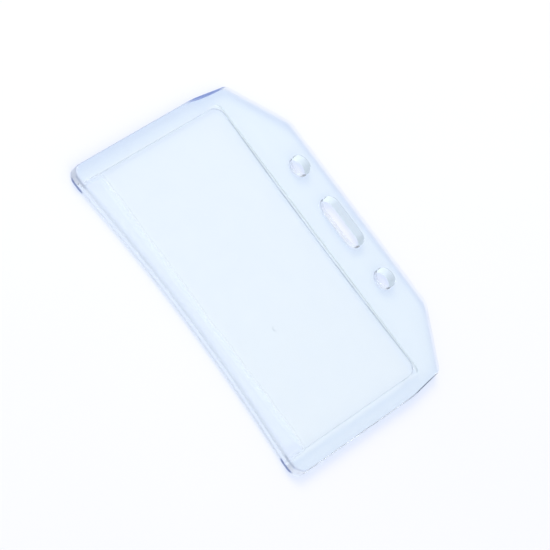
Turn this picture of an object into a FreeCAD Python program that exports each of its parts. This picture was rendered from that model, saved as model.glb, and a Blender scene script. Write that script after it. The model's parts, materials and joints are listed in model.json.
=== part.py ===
import FreeCAD, Part
import os
import Sketcher

# Clear horizontal card holder, lying on its back: +Z up, +X along the long side, +Y towards the header.
# The origin is the centre of the overall footprint, on the plane the holder rests on.

os.makedirs("parts", exist_ok=True)
document = FreeCAD.newDocument("card_holder")

DIMENSIONS = {
    # overall size
    "overall_width": 101.0,
    "overall_height": 80.0,
    "total_thick": 3.0,
    # outline that both pieces share: straight sides that lean inwards a little before the shoulders;
    # the panel's shoulders are the sharper ones
    "foot_radius": 3.5,
    "lean_y": 14.0,
    "lean_radius": 30.0,
    "shoulder_width": 98.0,
    "shoulder_y": 27.5,
    "shell_shoulder_radius": 3.0,
    "panel_shoulder_radius": 1.0,
    "header_width": 62.4,
    "header_radius": 2.5,
    # rear panel
    "rear_thick": 0.8,
    "panel_edge_round": 0.2,
    # front shell
    "shell_edge_round": 0.6,
    # mouth for the card, arched for the thumb
    "mouth_width": 90.6,
    "arch_depth": 2.6,
    # hollow that holds the card
    "pocket_width": 92.0,
    "pocket_top_y": 21.6,
    "pocket_depth": 1.0,
    "pocket_radius": 1.5,
    # recessed window, whose side next to the header bows inwards
    "window_width": 90.6,
    "window_low_y": -34.8,
    "window_top_y": 20.2,
    "window_bow": 0.8,
    "window_recess": 0.35,
    "window_radius": 3.5,
    "window_bevel": 0.12,
    # header openings
    "opening_y": 32.6,
    "hole_radius": 3.0,
    "hole_spacing": 38.8,
    "slot_length": 16.4,
    "slot_width": 6.0,
    # moulding mark on the window
    "gate_x": 14.5,
    "gate_y": -14.5,
    "gate_radius": 0.7,
    "gate_rise": 0.12,
}
# a cut that has to pass an outer edge reaches this share of the overall size from the centre
PAST_EDGE = 0.55
TOUCH = 0.01


def make_sheet():
    """The spreadsheet of driving dimensions: each cell is a plain number with an alias."""
    sheet = document.addObject("Spreadsheet::Sheet", "dims")
    for row, (alias, value) in enumerate(DIMENSIONS.items(), start=1):
        sheet.set(f"A{row}", alias)
        sheet.set(f"B{row}", str(value))
        sheet.setAlias(f"B{row}", alias)
    document.recompute()


def make_body(label):
    body = document.addObject("PartDesign::Body", label)
    body.Label = label
    return body


def make_sketch(body, name, height=None):
    """A sketch on the body's own XY plane, raised to a bound height."""
    plane = next(item for item in body.Origin.OriginFeatures if item.Role == "XY_Plane")
    sketch = body.newObject("Sketcher::SketchObject", name)
    sketch.AttachmentSupport = (plane, [""])
    sketch.MapMode = "FlatFace"
    sketch.Visibility = False
    if height:
        sketch.setExpression("AttachmentOffset.Base.z", height)
    return sketch


def bind(sketch, constraint, expression):
    """Adds one dimension to a sketch and drives it from the spreadsheet."""
    index = sketch.addConstraint(constraint)
    sketch.setExpression(f"Constraints[{index}]", expression)


def number(term):
    """The value of a term, which is an alias and a factor."""
    alias, factor = term
    return DIMENSIONS[alias] * factor


def pin_point(sketch, edge, end, corner):
    """Fixes one end of an edge at a place given by two terms."""
    for kind, term in zip(("DistanceX", "DistanceY"), corner):
        alias, factor = term
        bind(sketch, Sketcher.Constraint(kind, -1, 1, edge, end, number(term)), f"dims.{alias} * {factor}")


def draw_polygon(sketch, corners):
    """A closed outline of straight edges with every corner pinned."""
    points = [FreeCAD.Vector(number(x), number(y), 0) for x, y in corners]
    edges = [
        sketch.addGeometry(Part.LineSegment(start, end), False)
        for start, end in zip(points, points[1:] + points[:1])
    ]
    for edge, following in zip(edges, edges[1:] + edges[:1]):
        sketch.addConstraint(Sketcher.Constraint("Coincident", edge, 2, following, 1))
    for edge, corner in zip(edges, corners):
        pin_point(sketch, edge, 1, corner)


def draw_circle(sketch, centre, radius_alias):
    """A circle with a bound centre and radius."""
    place = FreeCAD.Vector(number(centre[0]), number(centre[1]), 0)
    radius = DIMENSIONS[radius_alias]
    edge = sketch.addGeometry(Part.Circle(place, FreeCAD.Vector(0, 0, 1), radius), False)
    pin_point(sketch, edge, 3, centre)
    bind(sketch, Sketcher.Constraint("Radius", edge, radius), f"dims.{radius_alias}")


def chord_radius(width, depth):
    """The radius of a shallow arc from its chord and its depth."""
    return (width * width / 4 + depth * depth) / (2 * depth)


def chord_expression(width_alias, depth_alias):
    width = f"dims.{width_alias}"
    depth = f"dims.{depth_alias}"
    return f"({width} * {width} / 4 + {depth} * {depth}) / (2 * {depth})"


def pad(body, sketch, length):
    feature = body.newObject("PartDesign::Pad", f"{sketch.Name}_pad")
    feature.Profile = sketch
    feature.setExpression("Length", length)
    document.recompute()


def pocket_up(body, sketch, length):
    """Cuts from the sketch towards +Z, and checks that something was removed."""
    before = body.Shape.Volume
    feature = body.newObject("PartDesign::Pocket", f"{sketch.Name}_pocket")
    feature.Profile = sketch
    feature.Reversed = True
    feature.setExpression("Length", length)
    document.recompute()
    if body.Shape.Volume > before - TOUCH:
        raise RuntimeError(f"{feature.Name} cuts nothing")


def dress(body, kind, name, size, wanted):
    """A Fillet or a Chamfer on the edges that the wanted test accepts."""
    base = body.Tip
    names = [f"Edge{index}" for index, edge in enumerate(base.Shape.Edges, start=1) if wanted(edge)]
    if not names:
        raise RuntimeError(f"{name} finds no edge")
    feature = body.newObject(f"PartDesign::{kind}", name)
    feature.Base = (base, names)
    feature.setExpression("Radius" if kind == "Fillet" else "Size", size)
    document.recompute()


def is_upright(edge, x, y):
    """True for a vertical edge at a place, or at its mirror image in X."""
    box = edge.BoundBox
    flat = box.XLength < TOUCH and box.YLength < TOUCH
    return flat and abs(abs(box.XMin) - x) < TOUCH and abs(box.YMin - y) < TOUCH


def is_level(edge, height):
    """True for an edge that lies in one horizontal plane."""
    return abs(edge.BoundBox.ZMin - height) < TOUCH and abs(edge.BoundBox.ZMax - height) < TOUCH


def round_corners(body, name, x, y, radius_alias):
    dress(body, "Fillet", name, f"dims.{radius_alias}", lambda edge: is_upright(edge, x, y))


def cut_arch(body, name):
    """Cuts the shallow arch between the feet, through the body's whole thickness."""
    radius = chord_radius(DIMENSIONS["mouth_width"], DIMENSIONS["arch_depth"])
    radius_text = chord_expression("mouth_width", "arch_depth")
    centre_y = DIMENSIONS["arch_depth"] - DIMENSIONS["overall_height"] / 2 - radius
    sketch = make_sketch(body, name)
    circle = Part.Circle(FreeCAD.Vector(0, centre_y, 0), FreeCAD.Vector(0, 0, 1), radius)
    edge = sketch.addGeometry(circle, False)
    sketch.addConstraint(Sketcher.Constraint("PointOnObject", edge, 3, -2))
    bind(
        sketch,
        Sketcher.Constraint("DistanceY", -1, 1, edge, 3, centre_y),
        f"dims.arch_depth - dims.overall_height / 2 - {radius_text}",
    )
    bind(sketch, Sketcher.Constraint("Radius", edge, radius), radius_text)
    pocket_up(body, sketch, "dims.total_thick")


def box_corners(half_width, low, high):
    """The corners of a rectangle that is symmetric about the Y axis."""
    alias, factor = half_width
    left = (alias, -factor)
    right = (alias, factor)
    return [(left, low), (right, low), (right, high), (left, high)]


def make_plate(label, name, height, thickness, shoulder_alias):
    """A plate of the holder's whole outline, with rounded corners and the arched mouth."""
    body = make_body(label)
    outline = make_sketch(body, f"{name}_outline", height)
    low = ("overall_height", -0.5)
    top = ("overall_height", 0.5)
    half_side = [("overall_width", low), ("overall_width", ("lean_y", 1))]
    half_side += [("shoulder_width", ("shoulder_y", 1)), ("header_width", top)]
    corners = [((width, 0.5), y) for width, y in half_side]
    corners += [((width, -0.5), y) for width, y in reversed(half_side)]
    draw_polygon(outline, corners)
    pad(body, outline, thickness)
    half_width = DIMENSIONS["overall_width"] / 2
    half_height = DIMENSIONS["overall_height"] / 2
    half_shoulder = DIMENSIONS["shoulder_width"] / 2
    half_header = DIMENSIONS["header_width"] / 2
    round_corners(body, f"{name}_feet", half_width, -half_height, "foot_radius")
    round_corners(body, f"{name}_lean", half_width, DIMENSIONS["lean_y"], "lean_radius")
    round_corners(body, f"{name}_shoulders", half_shoulder, DIMENSIONS["shoulder_y"], shoulder_alias)
    round_corners(body, f"{name}_header", half_header, half_height, "header_radius")
    cut_arch(body, f"{name}_arch")
    return body


def make_rear_panel():
    body = make_plate("rear_panel", "panel", None, "dims.rear_thick", "panel_shoulder_radius")
    dress(body, "Fillet", "panel_edge", "dims.panel_edge_round", lambda edge: is_level(edge, 0))
    cut_header_openings(body, "panel")
    return body


def cut_window(body):
    """Sinks the window into the front face."""
    width = DIMENSIONS["window_width"]
    top = DIMENSIONS["window_top_y"]
    bow = DIMENSIONS["window_bow"]
    sketch = make_sketch(body, "window", "dims.total_thick - dims.window_recess")
    corners = box_corners(("window_width", 0.5), ("window_low_y", 1), ("window_top_y", 1))
    points = [FreeCAD.Vector(number(x), number(y), 0) for x, y in corners]
    sides = [
        sketch.addGeometry(Part.LineSegment(points[3], points[0]), False),
        sketch.addGeometry(Part.LineSegment(points[0], points[1]), False),
        sketch.addGeometry(Part.LineSegment(points[1], points[2]), False),
    ]
    far_side = sketch.addGeometry(Part.Arc(points[3], FreeCAD.Vector(0, top - bow, 0), points[2]), False)
    for side, following in zip(sides, sides[1:]):
        sketch.addConstraint(Sketcher.Constraint("Coincident", side, 2, following, 1))
    sketch.addConstraint(Sketcher.Constraint("Coincident", far_side, 1, sides[0], 1))
    sketch.addConstraint(Sketcher.Constraint("Coincident", far_side, 2, sides[2], 2))
    pin_point(sketch, sides[0], 1, corners[3])
    pin_point(sketch, sides[1], 1, corners[0])
    pin_point(sketch, sides[2], 1, corners[1])
    pin_point(sketch, sides[2], 2, corners[2])
    radius = Sketcher.Constraint("Radius", far_side, chord_radius(width, bow))
    bind(sketch, radius, chord_expression("window_width", "window_bow"))
    pocket_up(body, sketch, "dims.window_recess")
    low = DIMENSIONS["window_low_y"]
    round_corners(body, "window_low_corners", width / 2, low, "window_radius")
    round_corners(body, "window_top_corners", width / 2, top, "window_radius")


def cut_card_hollow(body):
    """Hollows the shell from behind, open along the mouth."""
    sketch = make_sketch(body, "card_hollow", "dims.rear_thick")
    draw_polygon(
        sketch,
        box_corners(("pocket_width", 0.5), ("overall_height", -PAST_EDGE), ("pocket_top_y", 1)),
    )
    pocket_up(body, sketch, "dims.pocket_depth")
    half_width = DIMENSIONS["pocket_width"] / 2
    round_corners(body, "hollow_corners", half_width, DIMENSIONS["pocket_top_y"], "pocket_radius")


def cut_header_openings(body, name):
    """Cuts the two chain holes and, between them, the strap slot."""
    holes = make_sketch(body, f"{name}_chain_holes")
    for side in (-0.5, 0.5):
        draw_circle(holes, (("hole_spacing", side), ("opening_y", 1)), "hole_radius")
    pocket_up(body, holes, "dims.total_thick")

    slot = make_sketch(body, f"{name}_strap_slot")
    radius = DIMENSIONS["slot_width"] / 2
    reach = DIMENSIONS["slot_length"] / 2 - radius
    middle = DIMENSIONS["opening_y"]
    up = FreeCAD.Vector(0, radius, 0)
    out = FreeCAD.Vector(radius, 0, 0)
    right = FreeCAD.Vector(reach, middle, 0)
    left = FreeCAD.Vector(-reach, middle, 0)
    right_end = slot.addGeometry(Part.Arc(right - up, right + out, right + up), False)
    top_side = slot.addGeometry(Part.LineSegment(right + up, left + up), False)
    left_end = slot.addGeometry(Part.Arc(left + up, left - out, left - up), False)
    low_side = slot.addGeometry(Part.LineSegment(left - up, right - up), False)
    chain = (right_end, top_side, left_end, low_side)
    for edge, following in zip(chain, chain[1:] + chain[:1]):
        slot.addConstraint(Sketcher.Constraint("Tangent", edge, 2, following, 1))
    for end, side, sign in ((right_end, reach, ""), (left_end, -reach, "-")):
        centre_x = Sketcher.Constraint("DistanceX", -1, 1, end, 3, side)
        bind(slot, centre_x, f"{sign}(dims.slot_length - dims.slot_width) / 2")
        centre_y = Sketcher.Constraint("DistanceY", -1, 1, end, 3, middle)
        bind(slot, centre_y, "dims.opening_y")
    bind(slot, Sketcher.Constraint("Radius", right_end, radius), "dims.slot_width / 2")
    pocket_up(body, slot, "dims.total_thick")


def make_front_shell():
    thick = DIMENSIONS["total_thick"]
    shell_thickness = "dims.total_thick - dims.rear_thick"
    body = make_plate("front_shell", "shell", "dims.rear_thick", shell_thickness, "shell_shoulder_radius")
    cut_card_hollow(body)
    dress(body, "Fillet", "shell_edge", "dims.shell_edge_round", lambda edge: is_level(edge, thick))
    cut_window(body)
    cut_header_openings(body, "shell")

    def is_window_rim(edge):
        box = edge.BoundBox
        reach = DIMENSIONS["window_width"] / 2 + TOUCH
        inside = max(abs(box.XMin), abs(box.XMax)) < reach and box.YMax < DIMENSIONS["window_top_y"] + TOUCH
        return is_level(edge, thick) and inside and box.YMin > DIMENSIONS["window_low_y"] - TOUCH

    dress(body, "Chamfer", "window_rim", "dims.window_bevel", is_window_rim)

    gate = make_sketch(body, "gate_mark", "dims.total_thick - dims.window_recess")
    draw_circle(gate, (("gate_x", 1), ("gate_y", 1)), "gate_radius")
    pad(body, gate, "dims.gate_rise")
    return body


def check_and_export(bodies):
    """Stops on any failed object or broken shape, then writes one file for each piece."""
    for item in document.Objects:
        if "Invalid" in item.State or "Error" in item.State:
            raise RuntimeError(f"{item.Name} failed: {item.State}")
    for body in bodies:
        shape = body.Shape
        if shape.isNull() or not shape.isValid() or len(shape.Solids) != 1:
            raise RuntimeError(f"{body.Label} is not one valid solid")
    for body in bodies:
        body.Shape.exportStep(f"parts/{body.Label}.step")


make_sheet()
pieces = [make_rear_panel(), make_front_shell()]
document.recompute()
check_and_export(pieces)
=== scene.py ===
import json
import math

import bmesh
import bpy
from mathutils import Matrix, Vector
from mathutils.geometry import tessellate_polygon


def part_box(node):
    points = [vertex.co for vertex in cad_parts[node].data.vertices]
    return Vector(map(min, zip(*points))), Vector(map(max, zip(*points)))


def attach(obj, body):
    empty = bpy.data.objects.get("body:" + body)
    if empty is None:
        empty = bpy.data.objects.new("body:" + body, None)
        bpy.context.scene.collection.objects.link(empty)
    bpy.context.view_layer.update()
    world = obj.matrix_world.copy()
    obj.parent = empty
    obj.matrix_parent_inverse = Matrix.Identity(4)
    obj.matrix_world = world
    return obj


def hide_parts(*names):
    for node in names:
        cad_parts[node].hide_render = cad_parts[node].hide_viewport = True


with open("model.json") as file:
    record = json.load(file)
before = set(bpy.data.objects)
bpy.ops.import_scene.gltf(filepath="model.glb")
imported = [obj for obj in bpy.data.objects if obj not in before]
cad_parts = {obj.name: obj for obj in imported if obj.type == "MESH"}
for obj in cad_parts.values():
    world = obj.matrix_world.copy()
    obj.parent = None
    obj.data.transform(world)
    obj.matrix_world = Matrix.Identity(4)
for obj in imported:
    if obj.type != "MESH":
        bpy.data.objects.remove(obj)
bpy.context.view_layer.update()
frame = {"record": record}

MM = 0.001

# ---------------------------------------------------------------- sizes, from the frame and a few of its own
shell_low, shell_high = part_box("front_shell")
panel_low, panel_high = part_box("rear_panel")
record = frame["record"]
mounts = {mount["name"]: mount for mount in record["mounts"]}
openings = {opening["name"]: opening for opening in record["physics"]["openings"]}

# the back of the holder is at z = 0, so a height is also a z
WIDTH = shell_high.x - shell_low.x
THICK = shell_high.z - panel_low.z
PANEL_THICK = panel_high.z - panel_low.z
BORDER = 5.2 * MM
WINDOW_HALF = WIDTH / 2 - BORDER
WINDOW_LOW_Y = shell_low.y + BORDER
WINDOW_TOP_Y = WINDOW_LOW_Y + 55 * MM
WINDOW_BOW = 0.8 * MM
WINDOW_RECESS = 0.35 * MM
WINDOW_FLARE = 0.12 * MM
WINDOW_CORNER = 3.5 * MM
FOOT_RADIUS = 3.5 * MM
LEAN_Y = 14 * MM
LEAN_RADIUS = 30 * MM
SHOULDER_HALF = 49 * MM
SHOULDER_Y = 27.5 * MM
SHELL_SHOULDER = 3 * MM
PANEL_SHOULDER = 1 * MM
HEADER_HALF = 31.2 * MM
HEADER_RADIUS = 2.5 * MM
ARCH_DEPTH = 2.6 * MM
EDGE_ROUND = 0.6 * MM
FINE_ROUND = 0.2 * MM
LIP_WIDTH = 1.7 * MM
LIP_DROP = 1.05 * MM
LIP_BLEND = 8 * MM
HOLLOW_HALF = 46 * MM
HOLLOW_TOP_Y = 21.6 * MM
HOLLOW_DEPTH = 1.0 * MM
HOLLOW_CORNER = 1.5 * MM
SLOT_LENGTH = 16.4 * MM
SLOT_WIDTH = 6.0 * MM
WELD_DEPTH = 0.02 * MM
OPENING_Y = mounts["left_chain_hole"]["pos_m"][1]
OPENING_LOW_Y = OPENING_Y - SLOT_WIDTH / 2
OPENING_HIGH_Y = OPENING_Y + SLOT_WIDTH / 2
OPENINGS_HALF = HEADER_HALF - 5 * MM
GATE_PLACE = (14.5 * MM, -14.5 * MM)
GATE_RADIUS = 0.7 * MM
GATE_RISE = 0.12 * MM
OUTSIDE = 10 * MM


# ---------------------------------------------------------------- outlines
def corner_arc(before, corner, after, radius, steps=10):
    """Points that round one corner of an outline."""
    to_before = (before - corner).normalized()
    to_after = (after - corner).normalized()
    half = to_before.angle(to_after) / 2
    reach = radius / math.tan(half)
    centre = corner + (to_before + to_after).normalized() * radius / math.sin(half)
    start = corner + to_before * reach - centre
    turn = (corner + to_after * reach - centre).angle_signed(start)
    points = []
    for step in range(steps + 1):
        swing = Matrix.Rotation(turn * step / steps, 2)
        points.append(centre + swing @ start)
    return points


def outline(corners):
    """A loop of points from corners given as (x, y, radius)."""
    points = []
    places = [Vector(corner[:2]) for corner in corners]
    for index, corner in enumerate(corners):
        before = places[index - 1]
        after = places[(index + 1) % len(places)]
        if corner[2]:
            points += corner_arc(before, places[index], after, corner[2])
        else:
            points.append(places[index])
    return points


def shallow_arc(start, end, depth, steps=48):
    """Points of a shallow arc that rises to the left of the line from start to end, ends included."""
    start, end = Vector(start), Vector(end)
    chord = end - start
    length = chord.length
    radius = (length * length / 4 + depth * depth) / (2 * depth)
    left = Vector((-chord.y, chord.x)).normalized()
    centre = (start + end) / 2 + left * (depth - radius)
    half = math.asin(length / 2 / radius)
    along = chord.normalized()
    points = []
    for step in range(steps + 1):
        angle = half * (2 * step / steps - 1)
        points.append(centre + along * radius * math.sin(angle) + left * radius * math.cos(angle))
    return points


def mouth_arch(low_y):
    points = shallow_arc((-WINDOW_HALF, low_y), (WINDOW_HALF, low_y), ARCH_DEPTH)
    return [(point.x, point.y, 0) for point in points]


def holder_outline(shoulder_radius):
    low = shell_low.y
    high = shell_high.y
    half = WIDTH / 2
    corners = [(-half, low, FOOT_RADIUS)] + mouth_arch(low)
    corners += [
        (half, low, FOOT_RADIUS),
        (half, LEAN_Y, LEAN_RADIUS),
        (SHOULDER_HALF, SHOULDER_Y, shoulder_radius),
        (HEADER_HALF, high, HEADER_RADIUS),
        (-HEADER_HALF, high, HEADER_RADIUS),
        (-SHOULDER_HALF, SHOULDER_Y, shoulder_radius),
        (-half, LEAN_Y, LEAN_RADIUS),
    ]
    return outline(corners)


def window_outline():
    """The window, whose side next to the header bows in towards the card."""
    bowed = shallow_arc((WINDOW_HALF, WINDOW_TOP_Y), (-WINDOW_HALF, WINDOW_TOP_Y), WINDOW_BOW, 24)
    corners = [
        (-WINDOW_HALF, WINDOW_LOW_Y, WINDOW_CORNER),
        (WINDOW_HALF, WINDOW_LOW_Y, WINDOW_CORNER),
        (WINDOW_HALF, WINDOW_TOP_Y, WINDOW_CORNER),
    ]
    corners += [(point.x, point.y, 0) for point in bowed if abs(point.x) < WINDOW_HALF - WINDOW_CORNER * 2]
    corners.append((-WINDOW_HALF, WINDOW_TOP_Y, WINDOW_CORNER))
    return outline(corners)


def circle(centre, radius, steps=64):
    """Points round a circle, none of them at its very top, where a cap's triangle could have no area."""
    turns = [2 * math.pi * (step + 0.5) / steps for step in range(steps)]
    return [Vector((centre[0] + radius * math.cos(t), centre[1] + radius * math.sin(t))) for t in turns]


def stadium(centre, length, width, steps=24):
    """A slot with round ends."""
    radius = width / 2
    points = []
    for side, first in ((1, -math.pi / 2), (-1, math.pi / 2)):
        middle = centre[0] + side * (length / 2 - radius)
        for step in range(steps + 1):
            angle = first + math.pi * step / steps
            points.append(Vector((middle + radius * math.cos(angle), centre[1] + radius * math.sin(angle))))
    return points


def offset(loop, distance):
    """Moves a loop to its left by a distance, keeping its corners sharp."""
    moved = []
    for index, point in enumerate(loop):
        first = (point - loop[index - 1]).normalized()
        second = (loop[(index + 1) % len(loop)] - point).normalized()
        normal = Vector((-first.y - second.y, first.x + second.x)).normalized()
        stretch = max(0.5, normal.dot(Vector((-first.y, first.x))))
        moved.append(point + normal * distance / stretch)
    return moved


# ---------------------------------------------------------------- solids
def round_profile(low, high, low_round, high_round, steps=5):
    """(inset, height) pairs up the side of a plate whose lower and upper edges are rounded."""
    pairs = []
    for step in range(steps + 1 if low_round else 1):
        angle = math.pi / 2 * step / steps
        pairs.append((low_round * (1 - math.sin(angle)), low + low_round * (1 - math.cos(angle))))
    for step in range(steps + 1):
        angle = math.pi / 2 * step / steps
        pairs.append((high_round * (1 - math.cos(angle)), high - high_round * (1 - math.sin(angle))))
    return pairs


def plate(name, outer, holes, profile, slope=None):
    """A closed plate with through holes. Every wall follows the profile, which slope may change."""
    mesh = bmesh.new()
    rings = [outer] + [list(reversed(hole)) for hole in holes]
    rows = []
    for inset, height in profile:
        row = []
        for ring in rings:
            moved = offset(ring, 1.0 * MM)
            widths = [slope(point, inset, height) if slope else (inset, height) for point in ring]
            row.append(
                [
                    mesh.verts.new((*point.lerp(target, width / MM), level))
                    for point, target, (width, level) in zip(ring, moved, widths)
                ]
            )
        rows.append(row)
    for lower, upper in zip(rows, rows[1:]):
        for low_ring, high_ring in zip(lower, upper):
            count = len(low_ring)
            for index in range(count):
                following = (index + 1) % count
                mesh.faces.new(
                    (low_ring[index], low_ring[following], high_ring[following], high_ring[index])
                )
    add_cap(mesh, rows[0], False)
    add_cap(mesh, rows[-1], True)
    data = bpy.data.meshes.new(name)
    mesh.to_mesh(data)
    mesh.free()
    piece = bpy.data.objects.new(name, data)
    bpy.context.scene.collection.objects.link(piece)
    return piece


def add_cap(mesh, rings, upward):
    """Closes one end of a plate, round its holes."""
    if len(rings) == 1:
        mesh.faces.new(rings[0] if upward else list(reversed(rings[0])))
        return
    flat = [vertex for ring in rings for vertex in ring]
    for corner in tessellate_polygon([[vertex.co for vertex in ring] for ring in rings]):
        face = mesh.faces.new([flat[index] for index in corner])
        face.normal_update()
        if (face.normal.z > 0) != upward:
            face.normal_flip()


def cut(piece, cutter, operation="DIFFERENCE"):
    """Combines a piece with a cutter and keeps only the result."""
    change = piece.modifiers.new("cut", "BOOLEAN")
    change.object = cutter
    change.operation = operation
    change.solver = "EXACT"
    graph = bpy.context.evaluated_depsgraph_get()
    data = bpy.data.meshes.new_from_object(piece.evaluated_get(graph))
    piece.modifiers.clear()
    piece.data = data
    bpy.data.objects.remove(cutter)


def finish_surface(piece):
    """Tidies a mesh and shades it smooth, with flat faces kept flat."""
    mesh = bmesh.new()
    mesh.from_mesh(piece.data)
    bmesh.ops.remove_doubles(mesh, verts=mesh.verts, dist=0.002 * MM)
    bmesh.ops.dissolve_degenerate(mesh, edges=mesh.edges, dist=0.001 * MM)
    bmesh.ops.recalc_face_normals(mesh, faces=mesh.faces)
    mesh.to_mesh(piece.data)
    mesh.free()
    piece.data.shade_smooth()
    piece.data.set_sharp_from_angle(angle=math.radians(40))
    weighted = piece.modifiers.new("flat faces stay flat", "WEIGHTED_NORMAL")
    weighted.keep_sharp = True
    weighted.weight = 100


def rectangle(half, low, high, radius=0):
    return outline([(-half, low, 0), (half, low, 0), (half, high, radius), (-half, high, radius)])


def header_openings():
    """The two chain holes and the strap slot."""
    holes = []
    for name in ("left_chain_hole", "right_chain_hole"):
        place = mounts[name]["pos_m"]
        holes.append(circle(place, mounts[name]["dims"]["r_mm"] * MM))
    slot_low, slot_high = openings["strap_slot"]["box_m"]
    middle = ((slot_low[0] + slot_high[0]) / 2, (slot_low[1] + slot_high[1]) / 2)
    return holes + [stadium(middle, SLOT_LENGTH, SLOT_WIDTH)]


def soft_lip(point, inset, height):
    """Widens the rounding of the shell's front edge along the mouth, and sharpens it round the openings."""
    if height < THICK - EDGE_ROUND:
        return inset, height
    if abs(point.y - OPENING_Y) < SLOT_WIDTH and abs(point.x) < OPENINGS_HALF:
        share = FINE_ROUND / EDGE_ROUND
        return inset * share, THICK - (THICK - height) * share
    if point.y > WINDOW_LOW_Y:
        return inset, height
    share = smooth((WINDOW_HALF - abs(point.x)) / LIP_BLEND)
    width = inset * (1 + share * (LIP_WIDTH / EDGE_ROUND - 1))
    drop = (THICK - height) * (1 + share * (LIP_DROP / EDGE_ROUND - 1))
    return width, THICK - drop


def smooth(share):
    """Eases a share from 0 to 1."""
    share = min(1, max(0, share))
    return share * share * (3 - 2 * share)


def build_shell():
    """The moulding, less the card hollow and the window's recess, plus the gate mark on the window."""
    piece = plate(
        "front_shell_moulding",
        holder_outline(SHELL_SHOULDER),
        header_openings(),
        round_profile(shell_low.z, shell_high.z, 0, EDGE_ROUND),
        soft_lip,
    )
    hollow_top = PANEL_THICK + HOLLOW_DEPTH
    hollow = plate(
        "hollow",
        rectangle(HOLLOW_HALF, shell_low.y - OUTSIDE, HOLLOW_TOP_Y, HOLLOW_CORNER),
        [],
        round_profile(-OUTSIDE, hollow_top, 0.1 * MM, 0.3 * MM),
    )
    cut(piece, hollow)
    floor = THICK - WINDOW_RECESS
    rim = [
        (0.1 * MM, floor),
        (0.03 * MM, floor + 0.03 * MM),
        (0, floor + 0.1 * MM),
        (0, THICK - WINDOW_FLARE),
        (-0.4 * WINDOW_FLARE, THICK - 0.4 * WINDOW_FLARE),
        (-WINDOW_FLARE, THICK),
        (-WINDOW_FLARE, THICK + OUTSIDE),
    ]
    cut(piece, plate("recess", window_outline(), [], rim))
    gate = plate(
        "gate",
        circle(GATE_PLACE, GATE_RADIUS, 24),
        [],
        round_profile(floor - 0.2 * MM, floor + GATE_RISE, 0.02 * MM, 0.08 * MM, 3),
    )
    cut(piece, gate, "UNION")
    finish_surface(piece)
    return piece


def build_panel():
    """The rear sheet, which reaches a little into the shell so that no gap shows between them."""
    piece = plate(
        "rear_panel_sheet",
        holder_outline(PANEL_SHOULDER),
        header_openings(),
        round_profile(panel_low.z, panel_high.z + WELD_DEPTH, FINE_ROUND, 0.05 * MM),
    )
    finish_surface(piece)
    return piece


# ---------------------------------------------------------------- materials
class Shader:
    """A material's node tree, with short calls for the nodes used here."""

    def __init__(self, name):
        self.material = bpy.data.materials.new(name)
        self.material.use_nodes = True
        self.tree = self.material.node_tree
        self.tree.nodes.clear()
        self.place = self.node("ShaderNodeTexCoord").outputs["Object"]
        self.x, self.y, self.z = self.split(self.place)

    def node(self, kind, inputs=None, **settings):
        made = self.tree.nodes.new(kind)
        for name, value in settings.items():
            setattr(made, name, value)
        for name, value in (inputs or {}).items():
            self.feed(made.inputs[name], value)
        return made

    def feed(self, socket, value):
        if isinstance(value, bpy.types.NodeSocket):
            self.tree.links.new(value, socket)
        else:
            socket.default_value = value

    def split(self, vector):
        return self.node("ShaderNodeSeparateXYZ", {"Vector": vector}).outputs[:3]

    def math(self, operation, *values):
        node = self.node("ShaderNodeMath", operation=operation)
        for socket, value in zip(node.inputs, values):
            self.feed(socket, value)
        return node.outputs["Value"]

    def step(self, value, low, high):
        """0 where the value is at low, 1 where it is at high, and smooth in between."""
        inputs = {"Value": value, "From Min": low, "From Max": high}
        return self.node("ShaderNodeMapRange", inputs, interpolation_type="SMOOTHSTEP").outputs["Result"]

    def all_of(self, *shares):
        total = shares[0]
        for share in shares[1:]:
            total = self.math("MULTIPLY", total, share)
        return total

    def noise(self, scale, detail, roughness=0.5, vector=None):
        inputs = {"Scale": scale, "Detail": detail, "Roughness": roughness, "Vector": vector or self.place}
        return self.node("ShaderNodeTexNoise", inputs).outputs["Fac"]

    def between(self, share, low, high):
        inputs = {"Value": share, "To Min": low, "To Max": high}
        return self.node("ShaderNodeMapRange", inputs).outputs["Result"]

    def blend_colour(self, share, first, second):
        mix = self.node("ShaderNodeMix", data_type="RGBA")
        colours = [socket for socket in mix.inputs if socket.type == "RGBA"]
        self.feed(mix.inputs[0], share)
        self.feed(colours[0], first)
        self.feed(colours[1], second)
        return next(socket for socket in mix.outputs if socket.type == "RGBA")

    def blend_shader(self, share, first, second):
        mix = self.node("ShaderNodeMixShader", {"Fac": share})
        self.feed(mix.inputs[1], first)
        self.feed(mix.inputs[2], second)
        return mix.outputs["Shader"]

    def bump(self, height, distance, strength=1.0, normal=None):
        node = self.node("ShaderNodeBump", {"Height": height, "Distance": distance, "Strength": strength})
        if normal:
            self.feed(node.inputs["Normal"], normal)
        return node.outputs["Normal"]


CLEAN_TINT = (0.995, 1.0, 1.0, 1)
SMEARED_TINT = (0.975, 0.985, 1.0, 1)
PASSING_TINT = (0.979, 0.996, 1.0, 1)
WALL_PASSING_TINT = (0.66, 0.74, 0.92, 1)
DEPTH_TINT = (0.38, 0.72, 0.99, 1)
DEPTH_DENSITY = 12.0
PLASTIC_IOR = 1.47

# a veil is a matt colour that covers a share of a wall, so that its edge shows as a soft line; the grey and
# dark veils are painted shade
SATIN_VEIL = (0.93, 0.945, 1.0, 1)
# painted shade: grey on the header's far edge, for the dark line a clear plastic edge shows
FAR_EDGE_PAINTED_SHADE = (0.76, 0.77, 0.77, 1)
RIM_VEIL = (0.90, 0.93, 1.0, 1)
OPENING_VEIL = (0.97, 1.0, 1.0, 1)
HOLLOW_VEIL = (0.98, 1.0, 1.0, 1)
# painted shade: near-black on the ends of the header openings
DARK_PAINTED_SHADE = (0.012, 0.014, 0.02, 1)
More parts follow.
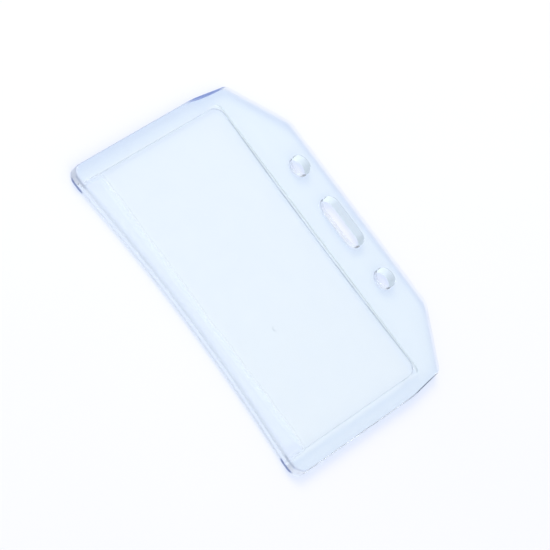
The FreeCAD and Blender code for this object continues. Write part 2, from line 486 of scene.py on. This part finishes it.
# painted shade: dark strips along the left and right sides, darker on the right
LEFT_STRIP_PAINTED_SHADE = (0.34, 0.40, 0.68, 1)
RIGHT_STRIP_PAINTED_SHADE = (0.05, 0.06, 0.12, 1)
FOOT_VEIL = (0.95, 0.95, 1.0, 1)
# painted shadow: a dark contact line low on the fronts of the feet
FOOT_LINE_PAINTED_SHADOW = (0.34, 0.38, 0.58, 1)
# painted shade: a softer line near the top of the fronts of the feet
SOFT_LINE_PAINTED_SHADE = (0.42, 0.48, 0.58, 1)

# the share of its wall that each veil covers, and the share of the near rims that is see-through
SATIN_SHARE = 0.93
FAR_EDGE_SHARE = 0.7
RIM_SHARE = 0.95
OPENING_SHARE = 0.95
HOLLOW_SHARE = 0.98
DARK_END_SHARE = 0.65
FOOT_SHARE = 0.9
SOFT_LINE_SHARE = 0.45
NEAR_RIM_CLEAR_SHARE = 0.65

# how much of a veil's light comes through from behind it
BACK_LIGHT = 0.7
OPENING_BACK_LIGHT = 1.0

# the satin band's inner edge fades between these two distances from the window's lower edge
SATIN_FULL = 1.2 * MM
SATIN_END = 4.6 * MM
SATIN_UNEVEN = 1.6 * MM

# the strips of painted shade along the outer sides, left and right, and how much wider they get before the
# shoulders
STRIP_WIDTHS = (0.24 * MM, 0.10 * MM)
LENS_WIDTHS = (0.45 * MM, 0.16 * MM)
STRIP_RISE_Y = (8 * MM, 18 * MM)
STRIP_SHARES = (0.30, 0.92)

SMEAR_SCALE = 140.0
SCRATCH_TURN = 0.6
SCRATCH_SCALE = (60, 1400, 60)
SCRATCH_LIMITS = (0.68, 0.78)
SCRATCH_DEPTH = 0.004 * MM
SCRATCH_STRENGTH = 0.12


def within(shader, value, low, high, blur):
    """1 between two limits, fading to 0 outside them."""
    above_low = shader.step(value, low - blur, low + blur)
    below_high = shader.step(value, high + blur, high - blur)
    return shader.math("MULTIPLY", above_low, below_high)


class Places:
    """Shares that are 1 on one kind of wall or border of the holder and 0 elsewhere."""

    def __init__(self, shader):
        surface = shader.node("ShaderNodeNewGeometry")
        facing_out = shader.math("MULTIPLY_ADD", surface.outputs["Backfacing"], -2.0, 1.0)
        normal_x, normal_y, normal_z = shader.split(surface.outputs["True Normal"])
        self.shader = shader
        self.across = shader.math("ABSOLUTE", shader.x)
        self.normal_y = shader.math("MULTIPLY", normal_y, facing_out)
        self.sideways = shader.math("ABSOLUTE", normal_x)
        self.steepness = shader.math("ABSOLUTE", normal_z)
        self.upright = shader.step(self.steepness, 0.93, 0.4)

    def satin_band(self):
        """The satin strip along the mouth, between the feet, with an uneven, soft inner edge."""
        shader = self.shader
        uneven = shader.math("MULTIPLY_ADD", shader.noise(120.0, 1.0), SATIN_UNEVEN, shader.y)
        near_mouth = shader.step(uneven, WINDOW_LOW_Y + SATIN_END, WINDOW_LOW_Y + SATIN_FULL)
        between_feet = shader.step(self.across, WINDOW_HALF + 1.0 * MM, WINDOW_HALF - 1.5 * MM)
        return shader.math("MULTIPLY", near_mouth, between_feet)

    def in_header_opening(self):
        """The walls of the holes and of the slot."""
        shader = self.shader
        in_row = within(shader, shader.y, OPENING_LOW_Y - 0.3 * MM, OPENING_HIGH_Y + 0.3 * MM, 0.1 * MM)
        inboard = shader.math("LESS_THAN", self.across, OPENINGS_HALF)
        return shader.all_of(self.upright, in_row, inboard)

    def opening_ends(self):
        """The walls of the header openings that face along the holder, near its mouth's side, which get
        near-black painted shade.
        """
        shader = self.shader
        turned = shader.step(self.sideways, 0.78, 0.96)
        near_half = shader.step(self.normal_y, -0.45, 0.1)
        return shader.all_of(self.in_header_opening(), turned, near_half)

    def far_edge(self):
        """The outer edge of the header and of the two slanted sides next to it, which gets a grey of painted
        shade.
        """
        shader = self.shader
        turned_away = shader.step(self.normal_y, 0.15, 0.4)
        beyond = shader.step(shader.y, SHOULDER_Y - 5 * MM, SHOULDER_Y - 2 * MM)
        outer = shader.math("SUBTRACT", 1.0, self.in_header_opening())
        return shader.all_of(self.upright, turned_away, beyond, outer)

    def near_rims(self):
        """The walls of the header openings that face away from the mouth."""
        turned_away = self.shader.step(self.normal_y, 0.05, 0.4)
        return self.shader.all_of(self.in_header_opening(), turned_away)

    def window_rim(self):
        """The small step round the recessed window, next to the header and along the sides."""
        shader = self.shader
        high = shader.math("GREATER_THAN", shader.z, THICK - WINDOW_RECESS + 0.02 * MM)
        inside = shader.math("LESS_THAN", self.across, WINDOW_HALF + 0.3 * MM)
        above_mouth = shader.math("GREATER_THAN", shader.y, WINDOW_LOW_Y + 3 * MM)
        below_header = shader.math("LESS_THAN", shader.y, WINDOW_TOP_Y + 0.5 * MM)
        return shader.all_of(self.upright, high, inside, above_mouth, below_header)

    def hollow_walls(self):
        """The walls of the card hollow and their rounding, but not its ceiling."""
        shader = self.shader
        ceiling = PANEL_THICK + HOLLOW_DEPTH
        in_height = shader.math("LESS_THAN", shader.z, ceiling - 0.005 * MM)
        in_width = shader.math("LESS_THAN", self.across, HOLLOW_HALF + 0.1 * MM)
        in_length = shader.math("LESS_THAN", shader.y, HOLLOW_TOP_Y + 0.1 * MM)
        return shader.all_of(in_height, in_width, in_length)

    def far_hollow_wall(self):
        """The wall of the card hollow under the header."""
        far = self.shader.math("GREATER_THAN", self.shader.y, HOLLOW_TOP_Y - HOLLOW_CORNER)
        return self.shader.math("MULTIPLY", self.hollow_walls(), far)

    def side_shade_strip(self):
        """A strip of painted shade along each outer side: faint at first, then dark and lens-shaped before
        the shoulder.
        """
        shader = self.shader
        leaning = shader.math("MAXIMUM", shader.math("SUBTRACT", shader.y, LEAN_Y), 0.0)
        lean = (WIDTH / 2 - SHOULDER_HALF) / (SHOULDER_Y - LEAN_Y)
        inward = shader.math("MULTIPLY_ADD", leaning, lean, self.across)
        rise = shader.step(shader.y, *STRIP_RISE_Y)
        lens = shader.math("MULTIPLY", rise, shader.step(shader.y, SHOULDER_Y + 1 * MM, 19 * MM))
        on_right = shader.math("GREATER_THAN", shader.x, 0.0)
        extra = shader.math("MULTIPLY", lens, shader.between(on_right, *LENS_WIDTHS))
        width = shader.math("ADD", extra, shader.between(on_right, *STRIP_WIDTHS))
        edge = shader.math("ADD", inward, width)
        strip = shader.step(edge, WIDTH / 2 - 0.08 * MM, WIDTH / 2 + 0.04 * MM)
        before_corner = shader.step(shader.y, SHOULDER_Y + 0.6 * MM, SHOULDER_Y - 1.5 * MM)
        return shader.all_of(strip, before_corner, shader.between(rise, *STRIP_SHARES))

    def foot_walls(self):
        """The walls of the feet and the rounding above them, round their corners too."""
        shader = self.shader
        corner_end = shell_low.y + FOOT_RADIUS
        near = shader.step(shader.y, corner_end + 0.1 * MM, corner_end - 1 * MM)
        on_foot = shader.step(self.across, WINDOW_HALF - 0.8 * MM, WINDOW_HALF)
        sloped = shader.step(self.steepness, 0.998, 0.93)
        return shader.all_of(sloped, near, on_foot)

    def foot_front(self, low, high):
        """The fronts of the feet, on the mouth's side, between two heights, where lines of painted shade go.
        """
        shader = self.shader
        near = shader.step(shader.y, shell_low.y + 1.6 * MM, shell_low.y + 0.8 * MM)
        on_foot = within(shader, self.across, WINDOW_HALF - 1.6 * MM, WIDTH / 2 - 2.2 * MM, 0.6 * MM)
        in_height = within(shader, shader.z, low, high, 0.05 * MM)
        return shader.all_of(self.upright, near, on_foot, in_height)


def clear_plastic(name, wave_scale, wave_height, roughness, is_panel):
    """Clear plastic with a faint blue body tint, slow moulding waves and fine handling marks, with painted
    shade on some edges and walls.
    """
    shader = Shader(name)
    places = Places(shader)
    smears = shader.noise(SMEAR_SCALE, 4.0, 0.6)

    waves = shader.bump(shader.noise(wave_scale, 1.5, 0.4), wave_height)
    inputs = {"Vector": shader.place, "Rotation": (0, 0, SCRATCH_TURN), "Scale": SCRATCH_SCALE}
    stretched = shader.node("ShaderNodeMapping", inputs).outputs["Vector"]
    scratches = shader.step(shader.noise(1.0, 3.0, 0.5, stretched), *SCRATCH_LIMITS)
    normal = shader.bump(scratches, SCRATCH_DEPTH, SCRATCH_STRENGTH, waves)

    glass = shader.node(
        "ShaderNodeBsdfPrincipled",
        {
            "Base Color": shader.blend_colour(smears, SMEARED_TINT, CLEAN_TINT),
            "Roughness": shader.between(smears, roughness * 0.5, roughness * 1.6),
            "Normal": normal,
            "IOR": PLASTIC_IOR,
            "Transmission Weight": 1.0,
        },
    )
    seen = glass.outputs["BSDF"]
    rays = shader.node("ShaderNodeLightPath")
    far_edge = places.far_edge()
    veils = [
        (places.satin_band(), SATIN_SHARE, SATIN_VEIL, BACK_LIGHT),
        (places.in_header_opening(), OPENING_SHARE, OPENING_VEIL, OPENING_BACK_LIGHT),
        # grey painted shade on the header's far edge
        (far_edge, FAR_EDGE_SHARE, FAR_EDGE_PAINTED_SHADE, BACK_LIGHT),
        (places.foot_walls(), FOOT_SHARE, FOOT_VEIL, BACK_LIGHT),
    ]
    if is_panel:
        # a painted contact shadow along the low front of each foot, seen only by camera rays
        seen_directly = shader.math("LESS_THAN", rays.outputs["Ray Depth"], 0.5)
        foot_shade_line = places.foot_front(0.0, PANEL_THICK)
        veils.append((foot_shade_line, seen_directly, FOOT_LINE_PAINTED_SHADOW, BACK_LIGHT))
    else:
        veils.append((places.far_hollow_wall(), HOLLOW_SHARE, HOLLOW_VEIL, BACK_LIGHT))
        veils.append((places.window_rim(), RIM_SHARE, RIM_VEIL, BACK_LIGHT))
        # dark strips of painted shade along the outer sides
        on_right = shader.math("GREATER_THAN", shader.x, 0.0)
        strip_shade = shader.blend_colour(on_right, LEFT_STRIP_PAINTED_SHADE, RIGHT_STRIP_PAINTED_SHADE)
        veils.append((places.side_shade_strip(), 1.0, strip_shade, BACK_LIGHT))
        # a softer line of painted shade near the top of each foot's front
        foot_shade_line = places.foot_front(THICK - 0.8 * MM, THICK - 0.2 * MM)
        veils.append((foot_shade_line, SOFT_LINE_SHARE, SOFT_LINE_PAINTED_SHADE, BACK_LIGHT))
    for place, share, colour, back_light in veils:
        lit_side = shader.node("ShaderNodeBsdfDiffuse", {"Color": colour})
        far_side = shader.node("ShaderNodeBsdfTranslucent", {"Color": colour})
        veil = shader.blend_shader(back_light, lit_side.outputs["BSDF"], far_side.outputs["BSDF"])
        seen = shader.blend_shader(shader.math("MULTIPLY", place, share), seen, veil)

    # these walls would show as hard dark lines in clear plastic, so they let the view straight through
    lower_wall = shader.step(shader.z, THICK - 0.8 * MM, THICK - 0.95 * MM)
    hidden = shader.math("MULTIPLY", far_edge, lower_wall)
    near_rims = shader.math("MULTIPLY", places.near_rims(), NEAR_RIM_CLEAR_SHARE)
    hidden = shader.math("MAXIMUM", hidden, near_rims)
    if not is_panel:
        side_walls = shader.math("SUBTRACT", places.hollow_walls(), places.far_hollow_wall())
        hidden = shader.math("MAXIMUM", hidden, side_walls)
    clear = shader.node("ShaderNodeBsdfTransparent", {"Color": (1, 1, 1, 1)})
    seen = shader.blend_shader(hidden, seen, clear.outputs["BSDF"])
    # near-black painted shade on the ends of the header openings
    dark = shader.node("ShaderNodeBsdfDiffuse", {"Color": DARK_PAINTED_SHADE})
    painted_dark_ends = shader.math("MULTIPLY", places.opening_ends(), DARK_END_SHARE)
    seen = shader.blend_shader(painted_dark_ends, seen, dark.outputs["BSDF"])

    # light on its way to the floor passes straight through, so that it is counted once
    lighting = shader.math("MAXIMUM", rays.outputs["Is Shadow Ray"], rays.outputs["Is Diffuse Ray"])
    passing_tint = shader.blend_colour(places.upright, PASSING_TINT, WALL_PASSING_TINT)
    passing = shader.node("ShaderNodeBsdfTransparent", {"Color": passing_tint})
    surface = shader.blend_shader(lighting, seen, passing.outputs["BSDF"])
    depth = shader.node("ShaderNodeVolumeAbsorption", {"Color": DEPTH_TINT, "Density": DEPTH_DENSITY})
    shader.node("ShaderNodeOutputMaterial", {"Surface": surface, "Volume": depth.outputs["Volume"]})
    return shader.material


def pale_floor():
    shader = Shader("pale_floor")
    tint = shader.blend_colour(shader.noise(8.0, 2.0), (0.90, 0.905, 0.955, 1), (0.93, 0.93, 0.965, 1))
    surface = shader.node("ShaderNodeBsdfPrincipled", {"Base Color": tint, "Roughness": 0.6})
    surface.inputs["Specular IOR Level"].default_value = 0.2
    shader.node("ShaderNodeOutputMaterial", {"Surface": surface.outputs["BSDF"]})
    return shader.material


# ---------------------------------------------------------------- stage, light and camera
SKY_STRENGTH = 0.70
FLOOR_HALF = 3.0
FLOOR_GAP = 0.02 * MM


def build_stage():
    """A wide pale floor just under the rear panel."""
    data = bpy.data.meshes.new("floor")
    corners = [(x * FLOOR_HALF, y * FLOOR_HALF, 0) for x, y in ((-1, -1), (1, -1), (1, 1), (-1, 1))]
    data.from_pydata(corners, [], [(0, 1, 2, 3)])
    floor = bpy.data.objects.new("floor", data)
    floor.location.z = panel_low.z - FLOOR_GAP
    floor.data.materials.append(pale_floor())
    bpy.context.scene.collection.objects.link(floor)


def build_world():
    """An even white sky that darkens towards the horizon, which gives clear edges their dark lines."""
    world = bpy.data.worlds.new("studio")
    bpy.context.scene.world = world
    world.use_nodes = True
    nodes = world.node_tree.nodes
    links = world.node_tree.links
    place = nodes.new("ShaderNodeTexCoord")
    split = nodes.new("ShaderNodeSeparateXYZ")
    links.new(place.outputs["Generated"], split.inputs["Vector"])
    ramp = nodes.new("ShaderNodeValToRGB")
    horizon, sky = ramp.color_ramp.elements
    horizon.position = 0.18
    horizon.color = (0.30, 0.32, 0.37, 1)
    sky.position = 0.5
    sky.color = (0.975, 0.985, 1.0, 1)
    links.new(split.outputs["Z"], ramp.inputs["Fac"])
    background = nodes["Background"]
    background.inputs["Strength"].default_value = SKY_STRENGTH
    links.new(ramp.outputs["Color"], background.inputs["Color"])


def add_light(name, place, size, power):
    """A round lamp aimed at the middle of the holder."""
    data = bpy.data.lights.new(name, "AREA")
    data.shape = "DISK"
    data.size = size
    data.energy = power
    light = bpy.data.objects.new(name, data)
    light.location = place
    light.rotation_euler = (-Vector(place)).to_track_quat("-Z", "Y").to_euler()
    bpy.context.scene.collection.objects.link(light)


def build_camera():
    """A long lens, turned in its own plane so that the card mouth faces the lower left."""
    azimuth = math.radians(5.57)
    elevation = math.radians(43.45)
    roll = math.radians(49.32)
    distance = 1.142
    lens = 277.1
    aim = (1.77 * MM, -1.36 * MM)
    back = Vector(
        (
            math.sin(azimuth) * math.cos(elevation),
            -math.cos(azimuth) * math.cos(elevation),
            math.sin(elevation),
        )
    )
    level_right = Vector((0, 0, 1)).cross(back).normalized()
    level_up = back.cross(level_right)
    right = level_right * math.cos(roll) + level_up * math.sin(roll)
    up = level_up * math.cos(roll) - level_right * math.sin(roll)
    data = bpy.data.cameras.new("camera")
    data.lens = lens
    data.sensor_width = 36
    data.clip_start = 0.01
    camera = bpy.data.objects.new("camera", data)
    turn = Matrix((right, up, back)).transposed().to_4x4()
    place = right * aim[0] + up * aim[1] + back * distance
    camera.matrix_world = Matrix.Translation(place) @ turn
    bpy.context.scene.collection.objects.link(camera)
    bpy.context.scene.camera = camera


# ---------------------------------------------------------------- the object
shell = build_shell()
moulding = clear_plastic(
    "clear_moulding", wave_scale=55.0, wave_height=0.03 * MM, roughness=0.03, is_panel=False
)
shell.data.materials.append(moulding)
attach(shell, "root")
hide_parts("front_shell")

panel = build_panel()
sheet = clear_plastic("clear_sheet", wave_scale=35.0, wave_height=0.05 * MM, roughness=0.02, is_panel=True)
panel.data.materials.append(sheet)
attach(panel, "root")
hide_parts("rear_panel")

build_stage()
build_world()
add_light("key", place=(-1.0, 0.5, 1.1), size=0.9, power=13)
add_light("fill", place=(0.9, -0.5, 1.1), size=1.2, power=4)
build_camera()
bpy.context.scene.view_settings.view_transform = "Standard"
